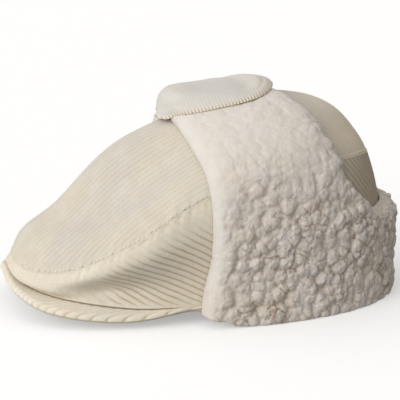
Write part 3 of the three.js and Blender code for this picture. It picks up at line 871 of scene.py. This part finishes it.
looks = {
    "top": {
        "cool": linear(200, 194, 183), "warm": linear(204, 195, 178), "light": linear(213, 209, 201),
        "shade": linear(184, 173, 153), "furrowShade": linear(162, 147, 121), "furrowFrom": 0.45, "furrowStrength": 0.55,
        "hollowShadeAndRimTone": linear(184, 173, 153), "hollowShadeAndRimShare": 0.0, "turned": 0.7, "paintedBackTone": linear(226, 208, 176),
        "backing": linear(196, 188, 172), "bloom": 0.35, "tuftLength": 0.35, "bump": 0.35, "sheen": 0.3,
    },
    "side": {
        "cool": linear(213, 206, 193), "warm": linear(216, 207, 188), "light": linear(222, 217, 207),
        "shade": linear(190, 175, 146), "furrowShade": linear(138, 113, 76), "furrowFrom": 0.45, "furrowStrength": 0.5,
        "hollowShadeAndRimTone": linear(188, 173, 145), "hollowShadeAndRimShare": 0.18, "turned": 0.45, "paintedBackTone": linear(138, 113, 76),
        "backing": linear(196, 188, 172), "bloom": 0.4, "tuftLength": 0.35, "bump": 0.45, "sheen": 0.2,
    },
    "bill": {
        "cool": linear(219, 212, 198), "warm": linear(223, 213, 193), "light": linear(228, 222, 211),
        "shade": linear(194, 180, 152), "furrowShade": linear(146, 122, 86), "furrowFrom": 0.5, "furrowStrength": 0.42,
        "hollowShadeAndRimTone": linear(194, 180, 152), "hollowShadeAndRimShare": 0.0, "turned": 0.0, "paintedBackTone": linear(146, 122, 86),
        "backing": linear(200, 190, 170), "bloom": 0.4, "tuftLength": 0.35, "bump": 0.45, "sheen": 0.25,
    },
    # the tab's greyer, less yellow tones are painted sheen, its pile seen at a grazing angle; its strong furrow
    # colour at the rim is painted shade between the hem's teeth
    "tab": {
        "cool": linear(203, 199, 194), "warm": linear(204, 198, 190), "light": linear(212, 208, 203),
        "shade": linear(198, 192, 182), "furrowShade": linear(134, 106, 66), "furrowFrom": 0.45, "furrowStrength": 0.9,
        "hollowShadeAndRimTone": linear(220, 207, 180), "hollowShadeAndRimShare": 0.8, "turned": 0.0, "paintedBackTone": linear(134, 106, 66),
        "backing": linear(196, 188, 172), "bloom": 0.4, "tuftLength": 0.25, "bump": 0.3, "sheen": 0.3,
    },
}

# the fleece's crease and low-place colours are painted shade
pileLook = {
    "crest": linear(213, 207, 200), "warmCrest": linear(211, 202, 190), "lowPlaceShade": linear(206, 194, 180),
    "creaseShade": linear(130, 106, 80), "calm": linear(213, 207, 199), "bump": 0.65, "cells": 220.0,
}


def pileMaterial():
    plain = {"Roughness": 0.95, "Specular IOR Level": 0.08, "Sheen Weight": 0.4, "Sheen Roughness": 0.5}
    shader = Shader("fleece_pile", plain)
    pile = shader.make("ShaderNodeAttribute", {"attribute_name": "pile"})[1]
    parts = shader.make("ShaderNodeSeparateXYZ", {}, {0: pile})
    spot = shader.make("ShaderNodeTexCoord")[3]
    crimp = shader.speckle(spot, 1300.0, 4.0, 0.7)
    fibres = shader.speckle(spot, 480.0, 4.0, 0.65)
    patch = shader.speckle(spot, 30.0, 3.0)
    crest = shader.blend(patch.ramp(0.35, 0.65), pileLook["crest"], pileLook["warmCrest"])
    crest = shader.blend(parts[1].ramp(0.45, 1.0) * 0.8, crest, pileLook["calm"])
    # painted shade, darker in the low places between the lumps
    low = 1.0 - (parts[2] + (fibres - 0.5) * 0.45).ramp(0.3, 0.75)
    full = 1.0 - parts[1]
    creaseShade = (parts[0] + (fibres - 0.5) * 0.15).ramp(0.2, 0.9) * (patch.ramp(0.3, 0.62) * 0.4 + 0.6)
    # small tufts with thin gaps of painted shade, finer than the mesh
    shift = shader.make("ShaderNodeTexNoise", {}, {"Vector": spot, "Scale": 160.0, "Detail": 2.0})[1]
    shift = shader.vector("MULTIPLY", shader.vector("SUBTRACT", shift, (0.5, 0.5, 0.5)), (0.005, 0.005, 0.005))
    cells = {"Vector": shader.vector("ADD", spot, shift), "Scale": pileLook["cells"]}
    rim = shader.make("ShaderNodeTexVoronoi", {"feature": "DISTANCE_TO_EDGE"}, cells)[0]
    gapShade = (1.0 - rim.ramp(0.0, 0.16)) * full
    colour = shader.blend(low * (full * 0.55 + 0.25), crest, pileLook["lowPlaceShade"])
    # painted shade in the creases
    colour = shader.blend(creaseShade * (full * 0.6 + 0.2), colour, pileLook["creaseShade"])
    colour = shader.blend(gapShade * (creaseShade * 0.4 + 0.15), colour, pileLook["creaseShade"])
    shader.join(colour, shader.surface.inputs["Base Color"])
    shader.join(0.88 + crimp * 0.12, shader.surface.inputs["Roughness"])
    height = (fibres * 0.6 + crimp * 0.4) * (full * 0.6 + 0.4) + rim.ramp(0.0, 0.5) * full * 0.9
    bump = {"Strength": pileLook["bump"], "Distance": 0.0011, "Height": height}
    shader.join(shader.make("ShaderNodeBump", {}, bump)[0], shader.surface.inputs["Normal"])
    return shader.material


def threadMaterial():
    shader = Shader("thread", {"Roughness": 0.7, "Sheen Weight": 0.2})
    spot = shader.make("ShaderNodeTexCoord")[3]
    twist = shader.speckle(spot, 900.0, 2.0)
    colour = shader.blend(twist, linear(206, 195, 172), linear(230, 224, 210))
    shader.join(colour, shader.surface.inputs["Base Color"])
    return shader.material


print("crown panels")
topCloth = buildTopPanel()
sideCloths = [buildSidePanel(1), buildSidePanel(-1)]
print("bill")
billCloth = buildBill()
print("tab")
tabCloth = buildTab()
print("stitches")
seamStitches = buildStitches()
print("fleece")
flaps = buildFleece()

print("materials")
topCloth.data.materials.append(corduroyMaterial("corduroy_top", looks["top"]))
sideLook = corduroyMaterial("corduroy_side", looks["side"])
for piece in sideCloths:
    piece.data.materials.append(sideLook)
billCloth.data.materials.append(corduroyMaterial("corduroy_bill", looks["bill"]))
tabCloth.data.materials.append(corduroyMaterial("corduroy_tab", looks["tab"]))
seamStitches.data.materials.append(threadMaterial())
pileShared = pileMaterial()
for piece in flaps:
    piece.data.materials.append(pileShared)

for piece, nodes, slot in [
    (topCloth, ["top_panel"], "corduroy"),
    (sideCloths[0], ["side_panel_left"], "corduroy"),
    (sideCloths[1], ["side_panel_right"], "corduroy"),
    (billCloth, ["bill"], "corduroy"),
    (tabCloth, ["closing_tab"], "corduroy"),
    (seamStitches, [], "corduroy"),
    (flaps[0], ["ear_flap_left"], "fleece"),
    (flaps[1], ["ear_flap_right"], "fleece"),
]:
    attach(piece, "root")
    if nodes:
        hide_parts(*nodes)

print("floor, light and camera")
bm = bmesh.new()
bmesh.ops.create_grid(bm, x_segments=2, y_segments=2, size=40)
mesh = bpy.data.meshes.new("floor")
bm.to_mesh(mesh)
bm.free()
floor = bpy.data.objects.new("floor", mesh)
bpy.context.scene.collection.objects.link(floor)
paper = {
    "Roughness": 0.9, "Specular IOR Level": 0.05, "Base Color": (0.77, 0.77, 0.77, 1),
    "Emission Color": (1, 1, 1, 1), "Emission Strength": 0.34,
}
mesh.materials.append(Shader("floor_paper", paper).material)
floor.visible_diffuse = False  # the cap gets no light back from the floor, as in a cut-out photograph

# one broad soft light from the front and a pale sky, brightest in front and dim behind and below
studio = {
    "from": (0.33, -0.44, 0.16), "key": 1.85, "spread": 55,
    "sky": 0.86, "below": 0.3, "front": 1.28, "behind": 0.33, "behindTone": (1, 0.93, 0.83, 1),
}
lamp = bpy.data.lights.new("key", "SUN")
lamp.energy, lamp.angle, lamp.color = studio["key"], math.radians(studio["spread"]), (1, 0.99, 0.97)
holder = bpy.data.objects.new("key", lamp)
holder.rotation_euler = Vector(studio["from"]).to_track_quat("Z", "Y").to_euler()
bpy.context.scene.collection.objects.link(holder)
world = bpy.data.worlds.new("studio")
sky = Tree(world)
aim = sky.make("ShaderNodeSeparateXYZ", {}, {0: sky.make("ShaderNodeTexCoord")[0]})


def grade(wire, low, high, start, end):
    inputs = {"Value": wire, "From Min": low, "From Max": high, "To Min": start, "To Max": end}
    return sky.make("ShaderNodeMapRange", {}, inputs)[0]


strength = grade(aim[2], -0.06, 0.0, studio["below"], studio["sky"])
strength = strength * grade(aim[1], -0.8, 0.8, studio["front"], studio["behind"])
sky.join(strength, sky.nodes["Background"].inputs["Strength"])
tone = sky.blend(grade(aim[1], -0.2, 0.8, 0.0, 1.0), (1, 1, 1, 1), studio["behindTone"])
sky.join(tone, sky.nodes["Background"].inputs["Color"])
bpy.context.scene.world = world
bpy.context.scene.view_settings.view_transform = "Standard"

view = {"from": (0.753, -0.2035, 0.2225), "at": (0, 0.01955, 0.07), "lens": 103.8, "shift": (-0.0777, -0.0342)}
lens = bpy.data.cameras.new("camera")
lens.lens, lens.sensor_width = view["lens"], 36
lens.shift_x, lens.shift_y = view["shift"]
lens.clip_start = 0.01
camera = bpy.data.objects.new("camera", lens)
camera.location = view["from"]
camera.rotation_euler = (Vector(view["at"]) - Vector(view["from"])).to_track_quat("-Z", "Y").to_euler()
bpy.context.scene.collection.objects.link(camera)
bpy.context.scene.camera = camera
